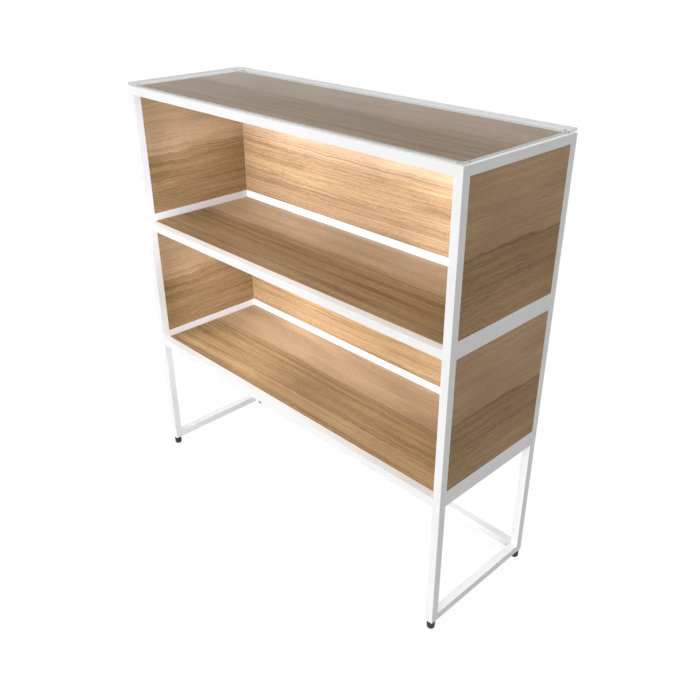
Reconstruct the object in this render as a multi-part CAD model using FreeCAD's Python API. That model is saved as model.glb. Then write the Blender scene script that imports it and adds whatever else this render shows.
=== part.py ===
import FreeCAD, Part
import os

# Highboard shelf unit: three stacked box frames of square steel tube, infilled with boards, and a glass top.
# Millimetres. Z is up from the floor, the front faces -Y, and the origin is on the floor under the middle.

# Box frames
frame_width = 1080.0
frame_depth = 360.0
module_height = 360.0
tube_size = 20.0
tube_wall = 1.5
tube_corner = 0.2

# Boards
board_gap = 0.2
board_arris = 0.2

# Glass top and the pads under it
glass_thickness = 6.0
glass_corner_radius = 3.0
glass_arris = 0.8
pad_size = 8.0
pad_height = 3.0
pad_post_gap = 1.0

# Plugs in the post ends
plug_clearance = 0.1
plug_lead = 1.0
cap_length = 14.0
spigot_reach = 20.0

# Levelling feet
foot_height = 22.0
foot_diameter = 20.0
sole_diameter = 19.0
sole_height = 5.0
sole_edge = 1.5
pivot_diameter = 7.0
pivot_length = 3.0
pivot_clearance = 0.05
stem_diameter = 8.0
thread_clearance = 0.08
insert_length = 25.0
foot_travel = 10.0

# Lugs under the shelves
lug_thickness = 2.0
lug_width = 30.0
lug_reach = 22.0
lug_corner = 6.0
lug_end_distance = 110.0

# Snap tongues in the edges of the side and back boards
tongue_thickness = 1.5
tongue_width = 24.0
tongue_depth = 14.0
tongue_catch = 2.0
tongue_corner = 3.0
tongue_clearance = 0.15
tongue_edge_distance = 60.0

# Worked out from the sizes above
half_width = frame_width / 2
half_depth = frame_depth / 2
half_tube = tube_size / 2
bore_size = tube_size - 2 * tube_wall
plug_size = bore_size - 2 * plug_clearance
shelf_thickness = tube_size - lug_thickness
post_x = half_width - half_tube
post_y = half_depth - half_tube
module_names = ["base", "lower", "upper"]
boarded_modules = ["lower", "upper"]
frame_top = foot_height + len(module_names) * module_height
sides = {"left": -1, "right": 1}
ends = {"front": -1, "back": 1}
posts = {(end, side): (sx * post_x, sy * post_y) for end, sy in ends.items() for side, sx in sides.items()}
along = {"x": FreeCAD.Vector(1, 0, 0), "y": FreeCAD.Vector(0, 1, 0), "z": FreeCAD.Vector(0, 0, 1)}
same_place = 0.001


def module_floor(index):
    """Height of the underside of one box frame, counted from the base."""
    return foot_height + index * module_height


def block(low, high):
    """Box between two corners."""
    size = [b - a for a, b in zip(low, high)]
    return Part.makeBox(*size, FreeCAD.Vector(*low))


def rod(radius, start, direction, length):
    """Round bar from a point along a direction."""
    return Part.makeCylinder(radius, length, FreeCAD.Vector(*start), direction)


def edges_along(shape, direction):
    """Straight edges of a shape that run along a direction."""
    straight = [edge for edge in shape.Edges if isinstance(edge.Curve, Part.Line)]
    return [edge for edge in straight if edge.Curve.Direction.cross(direction).Length < same_place]


def round_edges(shape, height):
    """Circular edges of a shape at one height."""
    circles = [edge for edge in shape.Edges if isinstance(edge.Curve, Part.Circle)]
    return [edge for edge in circles if abs(edge.Curve.Center.z - height) < same_place]


def save(name, *solids):
    """Write one named piece, or a group of identical ones."""
    shape = solids[0] if len(solids) == 1 else Part.makeCompound(list(solids))
    shape.exportStep("parts/" + name + ".step")


def square_tube(axis, start, length):
    """Square tube with its outer corners eased, its centre line running from start along an axis."""
    outer = block((-half_tube, -half_tube, 0), (half_tube, half_tube, length))
    outer = outer.makeChamfer(tube_corner, edges_along(outer, along["z"]))
    half_bore = bore_size / 2
    tube = outer.cut(block((-half_bore, -half_bore, 0), (half_bore, half_bore, length)))
    turn = FreeCAD.Rotation(along["z"], along[axis])
    tube.Placement = FreeCAD.Placement(FreeCAD.Vector(*start), turn)
    return tube


def post_plug(x, y, z, length):
    """Square plug that fills a post's bore from height z upwards, with lead chamfers at both ends."""
    half_plug = plug_size / 2
    plug = block((x - half_plug, y - half_plug, z), (x + half_plug, y + half_plug, z + length))
    rim = edges_along(plug, along["x"]) + edges_along(plug, along["y"])
    return plug.makeChamfer(plug_lead, rim)


def infill_board(low, high):
    """Board with its sharp edges taken off."""
    board = block(low, high)
    return board.makeChamfer(board_arris, board.Edges)


# Snap tongues: flat spring-steel keys, sunk in kerfs in the boards' edges, that snap into slots in the posts.
# Each seat is the point where a tongue's middle crosses the post's face, and the way into the post.
def tongue_seats(module):
    """Tongue seats of one module's side and back boards, keyed by board and post."""
    floor = module_floor(module)
    heights = [floor + tongue_edge_distance, floor + module_height - tongue_edge_distance]
    seats = {}
    for side, sx in sides.items():
        for end, sy in ends.items():
            points = [(sx * post_x, sy * (half_depth - tube_size), z) for z in heights]
            seats[side, end, side] = (points, along["y"] * sy)
        points = [(sx * (half_width - tube_size), post_y, z) for z in heights]
        seats["back", "back", side] = (points, along["x"] * sx)
    return seats


def upright_key(point, outward, depth, reach, clearance):
    """Flat upright key through a post's face: depth back into the board's side and reach into the post."""
    half_flat = tongue_thickness / 2 + clearance
    half_tall = tongue_width / 2 + clearance
    face = FreeCAD.Vector(*point)
    across = FreeCAD.Vector(abs(outward.y), abs(outward.x), 0) * half_flat + along["z"] * half_tall
    start = face - outward * depth
    tip = face + outward * reach
    corners = [start - across, start + across, tip - across, tip + across]
    low = [min(values) for values in zip(*corners)]
    high = [max(values) for values in zip(*corners)]
    return block(low, high)


def snap_tongue(point, outward):
    """One tongue, with the corners of its nose taken off as a lead."""
    tongue = upright_key(point, outward, tongue_depth, tube_wall + tongue_catch, 0)
    flat_way = FreeCAD.Vector(abs(outward.y), abs(outward.x), 0)
    tip = FreeCAD.Vector(*point) + outward * (tube_wall + tongue_catch)
    short_edges = edges_along(tongue, flat_way)
    nose = [edge for edge in short_edges if abs((edge.CenterOfMass - tip).dot(outward)) < same_place]
    return tongue.makeChamfer(tongue_corner, nose)


def tongue_kerf(point, outward):
    """Room for a tongue in the board's edge."""
    return upright_key(point, outward, tongue_depth + tongue_clearance, 0, tongue_clearance)


def tongue_slot(point, outward):
    """Slot through the post's wall for a tongue's nose."""
    return upright_key(point, outward, 0, tube_wall, tongue_clearance)


# Box frames: full-height posts, with the rails butted between them and welded
def box_frame(module):
    name = module_names[module]
    floor = module_floor(module)
    levels = {"top": floor + module_height - half_tube, "bottom": floor + half_tube}
    seats = tongue_seats(module) if name in boarded_modules else {}
    for (end, side), (x, y) in posts.items():
        post = square_tube("z", (x, y, floor), module_height)
        for (board, post_end, post_side), (points, outward) in seats.items():
            if (post_end, post_side) == (end, side):
                for point in points:
                    post = post.cut(tongue_slot(point, outward))
        save(f"{name}_post_{end}_{side}", post)
    for level, z in levels.items():
        for end, sy in ends.items():
            if (level, end) != ("bottom", "front"):
                rail = square_tube("x", (tube_size - half_width, sy * post_y, z), frame_width - 2 * tube_size)
                save(f"{name}_rail_{level}_{end}", rail)
        for side, sx in sides.items():
            rail = square_tube("y", (sx * post_x, tube_size - half_depth, z), frame_depth - 2 * tube_size)
            save(f"{name}_rail_{level}_{side}", rail)


# Shelves: boards dropped into the top opening of a frame, lying on lugs welded to its front and back rails
def shelf(name, module):
    top = module_floor(module) + module_height
    reach_x = half_width - tube_size - board_gap
    reach_y = half_depth - tube_size - board_gap
    save(name, infill_board((-reach_x, -reach_y, top - shelf_thickness), (reach_x, reach_y, top)))


def shelf_lugs(module):
    """Flat steel lugs of one shelf, with their free corners taken off."""
    shelf_bottom = module_floor(module) + module_height - shelf_thickness
    lugs = []
    for sy in ends.values():
        rail_y = sy * (half_depth - tube_size)
        free_y = rail_y - sy * lug_reach
        for x in (lug_end_distance - half_width, 0.0, half_width - lug_end_distance):
            low = (x - lug_width / 2, min(rail_y, free_y), shelf_bottom - lug_thickness)
            high = (x + lug_width / 2, max(rail_y, free_y), shelf_bottom)
            lug = block(low, high)
            uprights = edges_along(lug, along["z"])
            free_corners = [edge for edge in uprights if abs(edge.CenterOfMass.y - free_y) < same_place]
            lugs.append(lug.makeChamfer(lug_corner, free_corners))
    return lugs


# Side and back boards: as thick as the tubes and flush with both their faces, held to the posts by tongues
def side_and_back_boards(module):
    name = module_names[module]
    low_z = module_floor(module) + tube_size + board_gap
    high_z = module_floor(module) + module_height - tube_size - board_gap
    reach_x = half_width - tube_size - board_gap
    reach_y = half_depth - tube_size - board_gap
    low = (-reach_x, post_y - half_tube, low_z)
    high = (reach_x, post_y + half_tube, high_z)
    boards = {"back": infill_board(low, high)}
    for side, sx in sides.items():
        low = (sx * post_x - half_tube, -reach_y, low_z)
        high = (sx * post_x + half_tube, reach_y, high_z)
        boards[side] = infill_board(low, high)
    for (place, post_end, post_side), (points, outward) in tongue_seats(module).items():
        for point in points:
            boards[place] = boards[place].cut(tongue_kerf(point, outward))
    for place, board in boards.items():
        save(f"{name}_{place}_board", board)


# Levelling foot: a sole that stays still on the floor, and a moulded screw that turns on it
def foot_sole(x, y):
    sole = rod(sole_diameter / 2, (x, y, 0), along["z"], sole_height)
    sole = sole.makeChamfer(sole_edge, round_edges(sole, 0))
    socket_depth = pivot_length + pivot_clearance
    socket_radius = pivot_diameter / 2 + pivot_clearance
    return sole.cut(rod(socket_radius, (x, y, sole_height - socket_depth), along["z"], socket_depth))


def foot_screw(x, y):
    pivot = rod(pivot_diameter / 2, (x, y, sole_height - pivot_length), along["z"], pivot_length)
    body = rod(foot_diameter / 2, (x, y, sole_height), along["z"], foot_height - sole_height)
    stem = rod(stem_diameter / 2, (x, y, foot_height), along["z"], insert_length + foot_travel)
    return body.multiFuse([pivot, stem])


def foot_insert(x, y):
    plug = post_plug(x, y, foot_height, insert_length)
    return plug.cut(rod(stem_diameter / 2 + thread_clearance, (x, y, foot_height), along["z"], insert_length))


# Glass top, with its corners rounded and its edges ground
def glass_top():
    low_z = frame_top + pad_height
    sheet = block((-half_width, -half_depth, low_z), (half_width, half_depth, low_z + glass_thickness))
    sheet = sheet.makeFillet(glass_corner_radius, edges_along(sheet, along["z"]))
    flat_faces = [face for face in sheet.Faces if face.normalAt(0, 0).cross(along["z"]).Length < same_place]
    return sheet.makeChamfer(glass_arris, [edge for face in flat_faces for edge in face.Edges])


def glass_pads():
    """Square pads cut from clear sheet, on the top rails, one each way from every post."""
    off_post = tube_size + pad_post_gap + pad_size / 2
    half_pad = pad_size / 2
    pads = []
    for sx in sides.values():
        for sy in ends.values():
            beside_post = (sx * post_x, sy * (half_depth - off_post))
            along_rail = (sx * (half_width - off_post), sy * post_y)
            for x, y in (beside_post, along_rail):
                low = (x - half_pad, y - half_pad, frame_top)
                high = (x + half_pad, y + half_pad, frame_top + pad_height)
                pads.append(block(low, high))
    return pads


os.makedirs("parts", exist_ok=True)

for module_index in range(len(module_names)):
    box_frame(module_index)

all_lugs = []
for module_index, shelf_name in enumerate(("bottom_shelf", "middle_shelf", "top_board")):
    shelf(shelf_name, module_index)
    all_lugs.extend(shelf_lugs(module_index))
save("shelf_lugs", *all_lugs)

all_tongues = []
for module_name in boarded_modules:
    module_index = module_names.index(module_name)
    side_and_back_boards(module_index)
    for points, outward in tongue_seats(module_index).values():
        all_tongues.extend(snap_tongue(point, outward) for point in points)
save("snap_tongues", *all_tongues)

spigots = []
for joint_height in (module_floor(1), module_floor(2)):
    for x, y in posts.values():
        spigots.append(post_plug(x, y, joint_height - spigot_reach, 2 * spigot_reach))
save("stacking_spigots", *spigots)
save("post_caps", *[post_plug(x, y, frame_top - cap_length, cap_length) for x, y in posts.values()])
save("foot_inserts", *[foot_insert(x, y) for x, y in posts.values()])

for (end, side), (x, y) in posts.items():
    save(f"foot_sole_{end}_{side}", foot_sole(x, y))
    save(f"foot_screw_{end}_{side}", foot_screw(x, y))

save("glass_top", glass_top())
save("glass_pads", *glass_pads())
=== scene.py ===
import math

import bpy
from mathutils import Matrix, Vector


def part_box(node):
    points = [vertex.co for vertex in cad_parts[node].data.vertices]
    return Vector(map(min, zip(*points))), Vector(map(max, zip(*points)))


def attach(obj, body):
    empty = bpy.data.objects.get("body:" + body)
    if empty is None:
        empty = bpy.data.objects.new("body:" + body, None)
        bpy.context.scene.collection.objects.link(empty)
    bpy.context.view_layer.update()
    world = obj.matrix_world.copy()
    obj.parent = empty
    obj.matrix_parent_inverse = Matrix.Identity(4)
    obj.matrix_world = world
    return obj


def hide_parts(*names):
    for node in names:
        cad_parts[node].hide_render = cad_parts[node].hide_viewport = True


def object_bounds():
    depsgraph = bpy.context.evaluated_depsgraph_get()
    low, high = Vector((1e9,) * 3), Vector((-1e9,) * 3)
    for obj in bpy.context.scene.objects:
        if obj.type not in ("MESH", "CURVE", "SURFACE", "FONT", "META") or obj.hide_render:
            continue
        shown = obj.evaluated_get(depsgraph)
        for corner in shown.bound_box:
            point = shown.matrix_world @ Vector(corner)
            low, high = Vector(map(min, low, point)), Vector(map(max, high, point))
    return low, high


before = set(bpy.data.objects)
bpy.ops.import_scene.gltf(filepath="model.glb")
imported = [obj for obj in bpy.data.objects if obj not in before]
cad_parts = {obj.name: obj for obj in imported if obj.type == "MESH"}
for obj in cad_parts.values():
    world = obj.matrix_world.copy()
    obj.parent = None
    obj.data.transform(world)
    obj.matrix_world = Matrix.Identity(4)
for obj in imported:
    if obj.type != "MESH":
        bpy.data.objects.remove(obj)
cad_low, cad_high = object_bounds()


# Box frames
# Three welded frames of square steel tube, stacked to make the legs and the two compartments.
# They are powder coated white after welding, which leaves a fine orange peel on every face.
coat_white = (0.80, 0.80, 0.80, 1.0)
coat_thin = (0.77, 0.77, 0.765, 1.0)
coat_roughness = 0.36
cover_pitch = (0.11, 0.11, 0.11)
cover_range = (0.35, 0.7)
peel_pitch = (0.0014, 0.0014, 0.0014)
peel_roughness = 0.10
peel_depth = 0.000012


class Tone:
    """A shader socket that adds up in plain Python: each operator adds one Math node."""

    # Where a Mix node has its factor, its two colours and the mixed colour.
    mix_factor, mix_first, mix_second, mix_result = 0, 6, 7, 2

    def __init__(self, socket):
        self.socket = socket

    def node(self, kind, settings, sockets, output=0):
        """Add a node: its settings first, then a value or a link on each of its sockets."""
        tree = self.socket.id_data
        made = tree.nodes.new(kind)
        for name, value in settings.items():
            setattr(made, name, value)
        for name, value in sockets.items():
            if isinstance(value, Tone):
                tree.links.new(value.socket, made.inputs[name])
            else:
                made.inputs[name].default_value = value
        return Tone(made.outputs[output])

    def beside(self, output):
        """Another output of the same node."""
        return Tone(self.socket.node.outputs[output])

    def maths(self, operation, *terms):
        return self.node("ShaderNodeMath", {"operation": operation}, dict(enumerate(terms)))

    def __add__(self, other):
        return self.maths("ADD", self, other)

    __radd__ = __add__

    def __sub__(self, other):
        return self.maths("SUBTRACT", self, other)

    def __rsub__(self, other):
        return self.maths("SUBTRACT", other, self)

    def __mul__(self, other):
        return self.maths("MULTIPLY", self, other)

    __rmul__ = __mul__

    def __truediv__(self, other):
        return self.maths("DIVIDE", self, other)

    def __abs__(self):
        return self.maths("ABSOLUTE", self)

    def between(self, low, high):
        """How far the value has gone from low to high, eased in and out and held to 0 and 1."""
        sockets = {"Value": self, "From Min": low, "From Max": high}
        return self.node("ShaderNodeMapRange", {"interpolation_type": "SMOOTHSTEP"}, sockets)

    def noise(self, pitch, detail=2.0):
        """Cloudy values about 0.5, with lumps of the given pitch in metres along X, Y and Z."""
        place = self.node("ShaderNodeVectorMath", {"operation": "DIVIDE"}, {0: self, 1: pitch})
        sockets = {"Vector": place, "Scale": 1.0, "Detail": detail}
        return place.node("ShaderNodeTexNoise", {}, sockets)

    def mix_colours(self, blend, factor, first, second):
        settings = {"data_type": "RGBA", "blend_type": blend}
        sockets = {self.mix_factor: factor, self.mix_first: first, self.mix_second: second}
        return self.node("ShaderNodeMix", settings, sockets, output=self.mix_result)

    def mix(self, low, high):
        """A colour between two colours, with this value as the factor."""
        return self.mix_colours("MIX", self, low, high)

    def tinted(self, light_tint):
        """This colour times a tint."""
        return self.mix_colours("MULTIPLY", 1.0, self, light_tint)

    def mix_shaders(self, first, second):
        """A surface between two shaders, with this value as the factor."""
        return self.node("ShaderNodeMixShader", {}, {0: self, 1: first, 2: second})

    def bump(self, depth):
        """A normal for a surface that rises by this value times the depth in metres."""
        return self.node("ShaderNodeBump", {}, {"Height": self, "Distance": depth})

    def feeds(self, shader, name):
        shader.id_data.links.new(self.socket, shader.inputs[name])


def new_finish(name):
    """A node material, its shader, and the place of each point of the piece that wears it."""
    material = bpy.data.materials.new(name)
    material.use_nodes = True
    nodes = material.node_tree.nodes
    place = Tone(nodes.new("ShaderNodeTexCoord").outputs["Object"])
    return material, nodes["Principled BSDF"], place


def powder_coat():
    material, shader, place = new_finish("white_powder_coat")
    peel = place.noise(peel_pitch, detail=1.0)
    cover = place.noise(cover_pitch)
    cover.between(*cover_range).mix(coat_thin, coat_white).feeds(shader, "Base Color")
    (coat_roughness + peel_roughness * peel).feeds(shader, "Roughness")
    peel.bump(peel_depth).feeds(shader, "Normal")
    return material


def dress(node, material):
    """Give the slots of a node of the frame their material."""
    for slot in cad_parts[node].material_slots:
        slot.material = material


white_coat = powder_coat()
frame_members = [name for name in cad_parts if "_post_" in name or "_rail_" in name]
for member in frame_members:
    dress(member, white_coat)
dress("shelf_lugs", white_coat)


# Plugs, spigots and inserts
# Moulded nylon pieces driven into the tube ends: white caps at the top, dark spigots that line up
# the stacked frames, and threaded inserts for the feet.
plug_colours = {
    "post_caps": (0.74, 0.74, 0.73, 1.0),
    "stacking_spigots": (0.035, 0.035, 0.037, 1.0),
    "foot_inserts": (0.03, 0.03, 0.032, 1.0),
}
flow_pitch = (0.012, 0.012, 0.03)
flow_shade = 0.88
nylon_roughness = 0.42
spark_pitch = (0.0006, 0.0006, 0.0006)
spark_roughness = 0.18
spark_depth = 0.00001


def shaded(colour, share):
    """A colour made darker or paler all over."""
    return tuple(share * part for part in colour[:3]) + (1.0,)


def moulded_nylon(name, colour):
    material, shader, place = new_finish(name)
    flow = place.noise(flow_pitch)
    spark = place.noise(spark_pitch, detail=1.0)
    flow.mix(shaded(colour, flow_shade), colour).feeds(shader, "Base Color")
    (nylon_roughness + spark_roughness * spark).feeds(shader, "Roughness")
    spark.bump(spark_depth).feeds(shader, "Normal")
    return material


for plug, colour in plug_colours.items():
    dress(plug, moulded_nylon(plug + "_nylon", colour))


# Levelling feet
# Moulded black feet with a grip round the body and an M8 thread up the stem, which turns in the
# insert in the post. Each stands on a rubber sole that swivels on the body's round pivot.
foot_places = ("front_left", "front_right", "back_left", "back_right")
screw_low, screw_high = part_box("foot_screw_front_left")
sole_low, sole_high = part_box("foot_sole_front_left")
foot_centre = (screw_low + screw_high) / 2
touching = 0.00002
smooth_angle = math.radians(35)

body_low = sole_high.z
body_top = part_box("base_post_front_left")[0].z
body_radius = (screw_high.x - screw_low.x) / 2
grip_ribs = 36
grip_margin = 0.004
grip_depth = 0.0003
rim_round = 0.0008
pivot_radius = 0.0035

crest_radius = 0.004
root_radius = 0.0033
thread_pitch = 0.00125
thread_foot = 0.9 * thread_pitch
thread_land = 0.2
thread_steps = 24
tip_length = 0.0012
tip_taper = 0.75

sole_radius = (sole_high.x - sole_low.x) / 2
sole_sides = 64
sole_edge = 0.0015
sole_rim = rim_round / 2
seat_radius = pivot_radius + 0.00005
sole_rings = 3
ring_space = 0.0009
groove_wall = 0.0002
groove_width = 0.0005
groove_depth = 0.0004

foot_black = (0.012, 0.012, 0.013, 1.0)
foot_roughness = 0.34
sole_black = (0.02, 0.02, 0.02, 1.0)
sole_roughness = 0.62
grit_pitch = (0.0005, 0.0005, 0.0005)
grit_roughness = 0.12
grit_depth = 0.00001
scuff_pitch = (0.004, 0.004, 0.002)
scuff_range = (0.55, 0.75)
scuff_shade = 2.2
scuff_roughness = 0.1


def deselect():
    bpy.ops.object.select_all(action="DESELECT")


def apply_place():
    bpy.ops.object.transform_apply(location=True, rotation=True, scale=True)


def pick(kind, chosen):
    """Select the faces or edges of the active mesh whose corners the rule chooses, for editing."""
    bpy.ops.object.mode_set(mode="EDIT")
    bpy.ops.mesh.select_mode(type=kind)
    bpy.ops.mesh.select_all(action="DESELECT")
    bpy.ops.object.mode_set(mode="OBJECT")
    mesh = bpy.context.object.data
    for item in mesh.polygons if kind == "FACE" else mesh.edges:
        item.select = chosen([mesh.vertices[i].co for i in item.vertices])
    bpy.ops.object.mode_set(mode="EDIT")


def at_height(height):
    """A rule that chooses what lies wholly at one height."""
    return lambda corners: all(abs(corner.z - height) < touching for corner in corners)


def add_cylinder(sides, radius, low, top):
    deselect()
    bpy.ops.mesh.primitive_cylinder_add(
        vertices=sides, radius=radius, depth=top - low, location=(0, 0, (low + top) / 2))
    apply_place()
    return bpy.context.object


def draw_out(length):
    """Extrude the picked face straight up by a length, or down where it is negative."""
    bpy.ops.mesh.extrude_region_move(TRANSFORM_OT_translate={"value": (0, 0, length)})


def end_edit():
    """Leave edit mode with the faces pointing outwards and the round parts shaded smooth."""
    bpy.ops.mesh.select_all(action="SELECT")
    bpy.ops.mesh.normals_make_consistent(inside=False)
    bpy.ops.object.mode_set(mode="OBJECT")
    bpy.ops.object.shade_smooth_by_angle(angle=smooth_angle)


def foot_body():
    """The body with its grip, the pivot under it, and the bare stem with a tapered tip."""
    grip_low, grip_top = body_low + grip_margin, body_top - grip_margin
    body = add_cylinder(2 * grip_ribs, body_radius, body_low, body_top)
    bpy.ops.object.mode_set(mode="EDIT")
    for height in (grip_low, grip_top):
        bpy.ops.mesh.select_all(action="SELECT")
        bpy.ops.mesh.bisect(plane_co=(0, 0, height), plane_no=(0, 0, 1))

    def in_groove(corners):
        centre = sum(corners, Vector()) / len(corners)
        turn = math.atan2(centre.y, centre.x) % math.tau
        is_side = max(c.z for c in corners) - min(c.z for c in corners) > 2 * touching
        is_every_other = int(turn / math.tau * 2 * grip_ribs) % 2 == 0
        return is_side and grip_low < centre.z < grip_top and is_every_other

    pick("FACE", in_groove)
    bpy.ops.mesh.inset(thickness=grip_depth / 3, depth=-grip_depth, use_individual=True)
    for height in (body_low, body_top):
        pick("EDGE", at_height(height))
        bpy.ops.mesh.bevel(offset=rim_round, segments=3, affect="EDGES")
    pick("FACE", at_height(body_low))
    bpy.ops.mesh.inset(thickness=body_radius - rim_round - pivot_radius, depth=0)
    draw_out(screw_low.z - body_low)
    pick("FACE", at_height(body_top))
    bpy.ops.mesh.inset(thickness=body_radius - rim_round - root_radius, depth=0)
    draw_out(screw_high.z - tip_length - body_top)
    draw_out(tip_length)
    bpy.ops.transform.resize(value=(tip_taper, tip_taper, 1), center_override=(0, 0, screw_high.z))
    end_edit()
    return body


def stem_thread():
    """The thread: the outline of one ridge, wound up the stem by a Screw modifier."""
    deselect()
    middle = (root_radius + crest_radius) / 2
    start = body_top - thread_pitch
    upright = (math.pi / 2, 0, 0)
    bpy.ops.mesh.primitive_plane_add(size=1, location=(middle, 0, start), rotation=upright)
    thread = bpy.context.object
    thread.scale = (crest_radius - root_radius + 2 * touching, thread_foot, 1)
    apply_place()
    pick("EDGE", lambda corners: all(corner.x > middle for corner in corners))
    bpy.ops.transform.resize(value=(1, 1, thread_land), center_override=(crest_radius, 0, start))
    bpy.ops.mesh.select_all(action="SELECT")
    bpy.ops.mesh.delete(type="ONLY_FACE")
    bpy.ops.object.mode_set(mode="OBJECT")
    winding = thread.modifiers.new("winding", "SCREW")
    winding.screw_offset = thread_pitch
    winding.iterations = int((screw_high.z - tip_length - start) / thread_pitch)
    winding.steps = thread_steps
    winding.render_steps = thread_steps
    bpy.ops.object.modifier_apply(modifier="winding")
    bpy.ops.object.mode_set(mode="EDIT")
    bpy.ops.mesh.select_all(action="SELECT")
    bpy.ops.mesh.fill_holes(sides=4)
    end_edit()
    return thread


def foot_sole():
    """The sole with the seat for the pivot in its top and the grooved rings under it."""
    sole = add_cylinder(sole_sides, sole_radius, sole_low.z, body_low)
    pick("EDGE", at_height(sole_low.z))
    bpy.ops.mesh.bevel(offset=sole_edge, segments=4, affect="EDGES")
    pick("EDGE", at_height(body_low))
    bpy.ops.mesh.bevel(offset=sole_rim, segments=2, affect="EDGES")
    pick("FACE", at_height(body_low))
    bpy.ops.mesh.inset(thickness=sole_radius - sole_rim - seat_radius, depth=0)
    draw_out(screw_low.z - body_low)
    pick("FACE", at_height(sole_low.z))
    for _ in range(sole_rings):
        bpy.ops.mesh.inset(thickness=ring_space, depth=0)
        bpy.ops.mesh.inset(thickness=groove_wall, depth=-groove_depth)
        bpy.ops.mesh.inset(thickness=groove_width, depth=0)
        bpy.ops.mesh.inset(thickness=groove_wall, depth=groove_depth)
    end_edit()
    return sole


def foot_plastic(name, colour, roughness):
    material, shader, place = new_finish(name)
    grit = place.noise(grit_pitch, detail=1.0)
    scuff = place.noise(scuff_pitch, detail=4.0).between(*scuff_range)
    scuff.mix(colour, shaded(colour, scuff_shade)).feeds(shader, "Base Color")
    (roughness + grit_roughness * grit + scuff_roughness * scuff).feeds(shader, "Roughness")
    grit.bump(grit_depth).feeds(shader, "Normal")
    return material


def copies_at(model, name, shifts):
    """A copy of the model for each shift, every one with its own mesh in place; the model goes."""
    made = []
    for key, shift in shifts.items():
        deselect()
        model.select_set(True)
        bpy.context.view_layer.objects.active = model
        bpy.ops.object.duplicate()
        copy = bpy.context.object
        copy.name = f"{name}_{key}"
        copy.location = shift
        apply_place()
        made.append(copy)
    bpy.data.objects.remove(model)
    return made


def join(pieces):
    deselect()
    for piece in pieces:
        piece.select_set(True)
    bpy.context.view_layer.objects.active = pieces[0]
    bpy.ops.object.join()
    return bpy.context.object


foot_shifts = {}
for place_name in foot_places:
    along = 1 if "right" in place_name else -1
    across = 1 if "back" in place_name else -1
    foot_shifts[place_name] = (along * abs(foot_centre.x), across * abs(foot_centre.y), 0)

screw_model = join([foot_body(), stem_thread()])
screw_model.data.materials.append(foot_plastic("foot_black_nylon", foot_black, foot_roughness))
sole_model = foot_sole()
sole_model.data.materials.append(foot_plastic("foot_sole_rubber", sole_black, sole_roughness))
foot_models = ((screw_model, "foot_screw", "foot_black"), (sole_model, "foot_sole", "foot_sole"))
for model, node, slot in foot_models:
    for piece, place_name in zip(copies_at(model, "levelling_" + node, foot_shifts), foot_places):
        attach(piece, f"{node}_{place_name}")
        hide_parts(f"{node}_{place_name}")


# Veneered boards
# Particle boards with a walnut-look veneer on both faces and all edges, let in flush between the
# tubes. The grain runs along each board, with a plain pale part, a dark vein and a streaky part.
veneer_pale = (0.505, 0.330, 0.186, 1.0)
veneer_deep = (0.425, 0.260, 0.116, 1.0)
veneer_dark = (0.178, 0.101, 0.042, 1.0)
vein_colour = (0.130, 0.068, 0.042, 1.0)

# The grain's waves, by their pitch along, down and into the board and their finer layers.
leaf_pitch = 0.3
waves = {
    "sway": ((1.1, 0.5, leaf_pitch), 1.0),
    "ripple": ((0.13, 0.06, leaf_pitch), 2.0),
    "jag": ((0.028, 0.012, leaf_pitch), 1.0),
}
sway_reach = 0.05
ripple_reach = 0.022
jag_reach = 0.006

# The grain's marks, by the same and by the values at which a mark starts and is full.
marks = {
    "cloud": ((0.22, 0.05, leaf_pitch), 2.0, (0.30, 0.70)),
    "bands": ((0.9, 0.017, leaf_pitch), 3.0, (0.36, 0.66)),
    "lines": ((0.30, 0.0032, leaf_pitch), 2.0, (0.38, 0.62)),
    "flecks": ((0.016, 0.0022, leaf_pitch), 1.0, (0.45, 0.70)),
    "pores": ((0.007, 0.0007, leaf_pitch), 1.0, (0.58, 0.72)),
}
# How dark the marks are in the plain part, and how much darker in the streaky part.
cloud_share = 0.22
band_share, band_more = 0.10, 0.28
line_share, line_more = 0.18, 0.18
fleck_share, fleck_more = 0.12, 0.12
pore_share = 0.40

# The veins and the streaky part, by how far they lie under the board's upper edge.
vein_place = 0.150
vein_width = 0.0026
vein_share = 0.70
second_place = vein_place + 0.018
second_reach = 0.02
second_share = 0.30
shadow_width = 0.010
shadow_place = vein_place + shadow_width
shadow_share = 0.16
streaky_range = (vein_place - 0.04, vein_place + 0.03)
calmer_range = (vein_place + 0.05, vein_place + 0.17)
calmer_share = 0.3

veneer_roughness = 0.48
pore_roughness = 0.12
line_polish = 0.05
line_height = 0.4
pore_depth = 0.00005
veneer_shine = 0.12


def set_even(shader, values):
    """Set what is the same all over a surface on the shader's own sockets."""
    for name, value in values.items():
        shader.inputs[name].default_value = value


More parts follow.
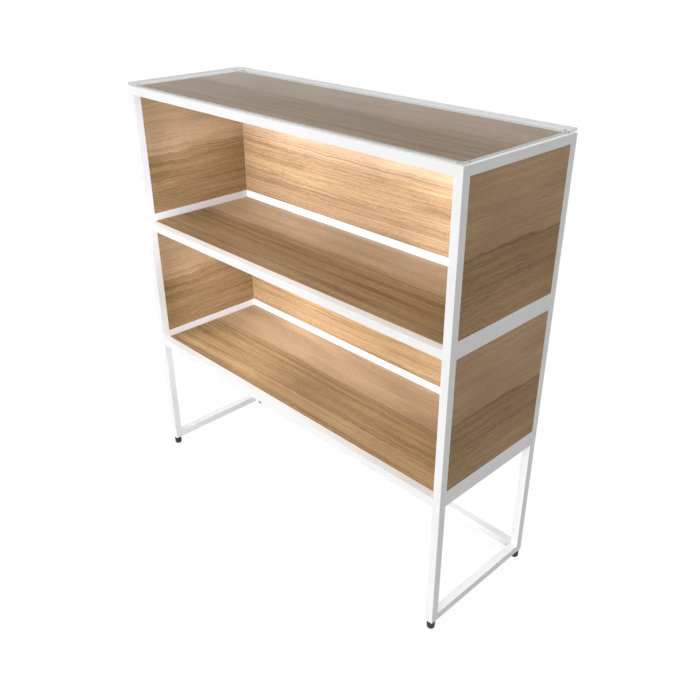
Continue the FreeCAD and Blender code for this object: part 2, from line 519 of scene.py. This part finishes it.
def veneer(board, top_edge, leaf, light_tint, turn, boldness, wave):
    """Walnut veneer: along the grain is X after the turn, and Y goes down from the top edge."""
    material, shader, place = new_finish(board + "_veneer")
    turned = tuple(math.radians(angle) for angle in turn)
    sockets = {"Vector": place, "Rotation": turned, "Location": (0, top_edge, leaf)}
    figure = place.node("ShaderNodeMapping", {}, sockets)
    down = figure.node("ShaderNodeSeparateXYZ", {}, {"Vector": figure}, output="Y")
    along, depth = down.beside("X"), down.beside("Z")
    sway, ripple, jag = (figure.noise(pitch, detail) - 0.5 for pitch, detail in waves.values())
    level = down + wave * (sway_reach * sway + ripple_reach * ripple + jag_reach * jag)
    flow = figure.node("ShaderNodeCombineXYZ", {}, {"X": along, "Y": level, "Z": depth})
    cloud, bands, lines, flecks, pores = (
        flow.noise(pitch, detail).between(*limits) for pitch, detail, limits in marks.values())
    streaky = level.between(*streaky_range) * (1 - calmer_share * level.between(*calmer_range))

    def stripe(centre, width):
        return 1 - (abs(level - centre) / width).between(0.0, 1.0)

    vein = stripe(vein_place, vein_width)
    second_vein = stripe(second_place + second_reach * ripple, vein_width)
    shadow = stripe(shadow_place, shadow_width)
    ground = streaky.mix(veneer_pale, veneer_deep)
    broad = boldness * bands * (band_share + band_more * streaky)
    fine = lines * (line_share + line_more * streaky)
    short = flecks * (fleck_share + fleck_more * streaky)
    grained = (cloud_share * cloud + (broad + fine) + short).mix(ground, veneer_dark)
    veins = vein_share * vein + second_share * second_vein + shadow_share * shadow
    veined = (boldness * veins).mix(grained, vein_colour)
    pored = (pore_share * pores).mix(veined, vein_colour)
    # Painted light: the tint makes this board paler, darker or cooler than the same veneer elsewhere,
    # to stand in for how the light falls on it.
    pored.tinted(light_tint + (1.0,)).feeds(shader, "Base Color")
    (veneer_roughness + pore_roughness * pores - line_polish * lines).feeds(shader, "Roughness")
    (line_height * lines - pores).bump(pore_depth).feeds(shader, "Normal")
    set_even(shader, {"Specular IOR Level": veneer_shine})
    return material


# The turn that lays the figure on each kind of board, how bold it is there and how far it waves,
# and a painted light tint on each board, which makes it paler, darker or cooler to stand in
# for how the light falls on that board.
shelf_cut = {"turn": (180, 0, 0), "boldness": 1.0, "wave": 0.5}
side_cut = {"turn": (90, 90, 0), "boldness": 0.8, "wave": 1.0}
back_cut = {"turn": (90, 0, 0), "boldness": 0.8, "wave": 0.5}
shelf_light_tints = {
    "bottom_shelf": (1.06, 1.12, 1.16),
    "middle_shelf": (0.97, 1.05, 1.12),
    "top_board": (0.98, 1.10, 1.34),
}
side_light_tints = {"left": (0.98, 1.03, 1.08), "right": (1.0, 1.0, 1.0)}
back_light_tints = {"lower": (1.00, 1.02, 1.09), "upper": (1.03, 1.07, 1.22)}
side_leaf = 1.0
back_leaf = 2.0
leaf_step = 0.05
for count, (board, light_tint) in enumerate(shelf_light_tints.items()):
    dress(board, veneer(board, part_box(board)[1].y, leaf_step * count, light_tint, **shelf_cut))
for count, (module, back_light_tint) in enumerate(back_light_tints.items()):
    for side, light_tint in side_light_tints.items():
        board = f"{module}_{side}_board"
        dress(board, veneer(board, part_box(board)[1].z, side_leaf, light_tint, **side_cut))
    board = f"{module}_back_board"
    leaf = back_leaf + leaf_step * count
    dress(board, veneer(board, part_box(board)[1].z, leaf, back_light_tint, **back_cut))


# Snap tongues
# Pressed spring-steel tongues, bright zinc plated, which hold the upright boards in their frames.
zinc = (0.62, 0.63, 0.64, 1.0)
zinc_dull = (0.47, 0.48, 0.50, 1.0)
zinc_roughness = 0.26
spangle_pitch = (0.004, 0.004, 0.004)
spangle_range = (0.3, 0.7)
drawn_pitch = (0.0004, 0.01, 0.0004)
drawn_roughness = 0.2
drawn_depth = 0.000004


def zinc_plate():
    material, shader, place = new_finish("zinc_plate")
    spangle = place.noise(spangle_pitch, detail=3.0)
    drawn = place.noise(drawn_pitch)
    spangle.between(*spangle_range).mix(zinc_dull, zinc).feeds(shader, "Base Color")
    (zinc_roughness + drawn_roughness * drawn).feeds(shader, "Roughness")
    drawn.bump(drawn_depth).feeds(shader, "Normal")
    set_even(shader, {"Metallic": 1.0})
    return material


dress("snap_tongues", zinc_plate())


# Glass pads
# Small clear soft pads stuck to the top of the frame, two to a corner, which carry the glass.
pads_low, pads_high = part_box("glass_pads")
corner_low, corner_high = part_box("upper_post_back_right")
corner = (corner_low + corner_high) / 2
pad_size = 0.008
pad_round = 0.002
pad_rim = 0.0004
pad_offset = 0.015
gel_cloudy = (0.80, 0.81, 0.81, 1.0)
gel_clear = (0.88, 0.88, 0.88, 1.0)
gel_roughness = 0.12
gel_passing = 0.25
gel_bending = 1.42
haze_pitch = (0.002, 0.002, 0.002)
haze_roughness = 0.2
haze_depth = 0.00002


def pad_model():
    deselect()
    bpy.ops.mesh.primitive_cube_add(size=1, location=(0, 0, (pads_low.z + pads_high.z) / 2))
    pad = bpy.context.object
    pad.scale = (pad_size, pad_size, pads_high.z - pads_low.z)
    apply_place()
    pick("EDGE", lambda corners: abs(corners[0].z - corners[1].z) > touching)
    bpy.ops.mesh.bevel(offset=pad_round, segments=5, affect="EDGES")
    for height in (pads_low.z, pads_high.z):
        pick("EDGE", at_height(height))
        bpy.ops.mesh.bevel(offset=pad_rim, segments=2, affect="EDGES")
    end_edit()
    return pad


def clear_gel():
    material, shader, place = new_finish("clear_pad_gel")
    haze = place.noise(haze_pitch)
    haze.mix(gel_cloudy, gel_clear).feeds(shader, "Base Color")
    (gel_roughness + haze_roughness * haze).feeds(shader, "Roughness")
    haze.bump(haze_depth).feeds(shader, "Normal")
    set_even(shader, {"Transmission Weight": gel_passing, "IOR": gel_bending})
    return material


pad_shifts = {}
for along in (-1, 1):
    for across in (-1, 1):
        pad_shifts[f"{along}{across}a"] = (along * corner.x, across * (corner.y - pad_offset), 0)
        pad_shifts[f"{along}{across}b"] = (along * (corner.x - pad_offset), across * corner.y, 0)
model = pad_model()
model.data.materials.append(clear_gel())
pads = join(copies_at(model, "pad", pad_shifts))
pads.name = "glass_pads_clear"
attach(pads, "cabinet")
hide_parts("glass_pads")


# Glass top
# One sheet of grey-tinted clear float glass with ground edges, laid on the pads. It passes light
# straight through, with a faint shine on top, and throws no shadow on the board under it.
glass_tint = (0.71, 0.71, 0.715, 1.0)
straight_through = 1.001
faint_shine = 1.038
smear_pitch = (0.25, 0.12, 0.1)
smear_range = (0.45, 0.8)
smear_share = 0.1
ground_edge = (0.45, 0.445, 0.43, 1.0)
ground_speck = (0.54, 0.535, 0.52, 1.0)
ground_roughness = 0.30
ground_share = 0.3
grind_pitch = (0.0008, 0.0008, 0.0008)
grind_roughness = 0.15
flat_range = (0.80, 0.95)


def float_glass():
    material, shader, place = new_finish("grey_float_glass")
    smear = place.noise(smear_pitch, detail=3.0)
    (1 - smear_share * smear.between(*smear_range)).feeds(shader, "Coat Weight")
    set_even(shader, {
        "Base Color": glass_tint, "Roughness": 0.0, "Transmission Weight": 1.0,
        "IOR": straight_through, "Coat IOR": faint_shine, "Coat Roughness": 0.0,
    })
    grind = place.noise(grind_pitch, detail=1.0)
    edge = place.node("ShaderNodeBsdfPrincipled", {}, {
        "Base Color": grind.mix(ground_edge, ground_speck),
        "Roughness": ground_roughness + grind_roughness * grind,
    })
    normal = place.node("ShaderNodeNewGeometry", {}, {}, output="Normal")
    upright = abs(normal.node("ShaderNodeSeparateXYZ", {}, {"Vector": normal}, output="Z"))
    at_edge = ground_share * (1 - upright.between(*flat_range))
    surface = at_edge.mix_shaders(Tone(shader.outputs["BSDF"]), edge)
    surface.feeds(material.node_tree.nodes["Material Output"], "Surface")
    return material


dress("glass_top", float_glass())
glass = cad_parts["glass_top"]
glass.visible_shadow = False
glass.visible_diffuse = False


# Floor and backdrop
# A plain pale floor and an even white studio round it, which show white to the camera. The floor
# lies under the soles by the full travel of the feet, so that they can be wound out.
floor_size = 90.0
floor_level = -0.010
floor_white = (0.56, 0.56, 0.56, 1.0)
floor_dull = (0.55, 0.55, 0.55, 1.0)
floor_pitch = (0.6, 0.6, 0.6)
floor_roughness = 0.9
floor_glow = 0.86
floor_lit = 0.50
glow_strength = (1 - (1 - floor_glow) * floor_lit) / floor_glow
studio_white = (1.0, 1.0, 1.0, 1.0)
studio_light = 0.29


def shown_rays(start):
    """1 for the rays that the camera sees, straight or by way of gloss and glass."""
    straight = start.node("ShaderNodeLightPath", {}, {}, output="Is Camera Ray")
    glossy, through = straight.beside("Is Glossy Ray"), straight.beside("Is Transmission Ray")
    return straight.maths("MAXIMUM", straight.maths("MAXIMUM", straight, glossy), through)


deselect()
bpy.ops.mesh.primitive_plane_add(size=floor_size, location=(0, 0, floor_level))
floor = bpy.context.object
floor.name = "studio_floor"
floor_finish, floor_shader, floor_place = new_finish("studio_floor_paint")
floor_place.noise(floor_pitch).mix(floor_white, floor_dull).feeds(floor_shader, "Base Color")
set_even(floor_shader, {"Roughness": floor_roughness, "Specular IOR Level": 0.0})
paint = Tone(floor_shader.outputs["BSDF"])
glow = paint.node("ShaderNodeEmission", {}, {"Color": studio_white, "Strength": glow_strength})
surface = (floor_glow * shown_rays(paint)).mix_shaders(paint, glow)
surface.feeds(floor_finish.node_tree.nodes["Material Output"], "Surface")
floor.data.materials.append(floor_finish)

studio = bpy.data.worlds.new("white_studio")
studio.use_nodes = True
bpy.context.scene.world = studio
backdrop = studio.node_tree.nodes["Background"]
backdrop.inputs["Color"].default_value = studio_white
seen = shown_rays(Tone(backdrop.outputs["Background"]))
(studio_light + (1 - studio_light) * seen).feeds(backdrop, "Strength")


# Lamps
# Three soft suns, from the front, from above and from behind. Rows of light sheets stand in the
# openings and others lie under the top rails, and spots light the inner faces of the left posts.
plain_white = (1.0, 1.0, 1.0)
cool_white = (0.92, 0.99, 1.14)
sun_place = (0, 0, 3)
suns = {
    "front_sun": {"from": (0.14, -1.0, 0.18), "strength": 2.00, "spread": 0.35, "in_gloss": True},
    "top_sun": {"from": (0.0, -0.18, 1.0), "strength": 1.80, "spread": 0.5, "in_gloss": True},
    "back_sun": {"from": (-0.40, 1.0, 0.06), "strength": 1.30, "spread": 0.5, "in_gloss": False},
}


def add_lamp(kind, name, place, turn, energy, colour):
    """A lamp that is not seen through the glass."""
    bpy.ops.object.light_add(type=kind, location=place, rotation=turn)
    lamp = bpy.context.object
    lamp.name = name
    lamp.visible_transmission = False
    lamp.data.energy = energy
    lamp.data.color = colour
    return lamp


def shining_from(direction):
    """The turn of a lamp that shines from a direction."""
    return Vector(direction).to_track_quat("Z", "Y").to_euler()


for name, sun in suns.items():
    turn = shining_from(sun["from"])
    lamp = add_lamp("SUN", name, sun_place, turn, sun["strength"], plain_white)
    lamp.data.angle = sun["spread"]
    lamp.visible_glossy = sun["in_gloss"]

# Each row has a left, a middle and a right sheet, with a level of its own for each.
sheet_ends = ((-0.47, -0.14), (-0.14, 0.14), (0.14, 0.515))
sheet_place = cad_low.y + 0.001
sheet_head = 0.005
facing_back = (math.pi / 2, 0, 0)
facing_down = (0, 0, 0)
rows = {
    "base": {
        "foot": cad_low.z + 0.03,
        "levels": (0.15, 0.15, 0.15), "spread": 2.2, "colour": plain_white},
    "lower": {
        "foot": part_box("bottom_shelf")[1].z + 0.018,
        "levels": (3.9, 1.0, 2.6), "spread": 2.1, "colour": cool_white},
    "upper": {
        "foot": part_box("middle_shelf")[1].z + 0.08,
        "levels": (3.6, 1.4, 4.4), "spread": 1.8, "colour": cool_white},
}


def light_sheet(name, centre, turn, size, spread, level, colour):
    """A sheet of even light that shines one way, at a level where 1 lights a white card fully."""
    lamp = add_lamp("AREA", name, centre, turn, level * math.pi * size[0] * size[1], colour)
    lamp.visible_camera = False
    lamp.data.shape = "RECTANGLE"
    lamp.data.size, lamp.data.size_y = size
    lamp.data.spread = spread


def under_top_rails(module):
    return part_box(f"{module}_rail_top_front")[0].z - sheet_head


for module, row in rows.items():
    foot, head = row["foot"], under_top_rails(module)
    for (start, end), level in zip(sheet_ends, row["levels"]):
        centre = ((start + end) / 2, sheet_place, (foot + head) / 2)
        size = (end - start, head - foot)
        light_sheet(
            f"{module}_opening_light", centre, facing_back, size, row["spread"], level, row["colour"])

# The spots stand away to the right and shine along the open front, a little before the posts.
spots = {
    "base": {"power": 22.0, "drop": 0.02},
    "lower": {"power": 48.0, "drop": 0.05},
    "upper": {"power": 92.0, "drop": 0.025},
}
spot_aim = -0.25
spot_from = Vector((1.82, -0.28, 0.12))
spot_turn = shining_from(spot_from)
spot_angle = 0.32
spot_blend = 0.5
spot_radius = 0.12
for module, spot in spots.items():
    post_low, post_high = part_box(f"{module}_post_front_left")
    aim = Vector((post_high.x, spot_aim, (post_low.z + post_high.z) / 2 - spot["drop"]))
    name = f"{module}_left_spot"
    lamp = add_lamp("SPOT", name, aim + spot_from, spot_turn, spot["power"], cool_white)
    lamp.data.spot_size = spot_angle
    lamp.data.spot_blend = spot_blend
    lamp.data.shadow_soft_size = spot_radius

roofs = {
    "base": {
        "place": (0.0, 0.02), "size": (1.05, 0.35),
        "level": 1.40, "spread": 2.2, "colour": plain_white},
    "lower": {
        "place": (-0.12, 0.03), "size": (0.56, 0.18),
        "level": 1.75, "spread": 2.2, "colour": cool_white},
    "upper": {
        "place": (-0.15, 0.03), "size": (0.60, 0.18),
        "level": 0.92, "spread": 2.0, "colour": cool_white},
}
for module, roof in roofs.items():
    centre = roof["place"] + (under_top_rails(module),)
    light_sheet(
        f"{module}_roof_light", centre, facing_down,
        roof["size"], roof["spread"], roof["level"], roof["colour"])


# Camera
# Set at the photograph's viewing angle, above the right front corner.
camera_place = (1.32945, -1.2256, 1.4542)
camera_turn = (1.07427, 0, 0.79317)
bpy.ops.object.camera_add(location=camera_place, rotation=camera_turn)
camera = bpy.context.object
camera.data.lens = 40.0
camera.data.sensor_width = 36.0
bpy.context.scene.camera = camera
bpy.context.scene.view_settings.view_transform = "Standard"
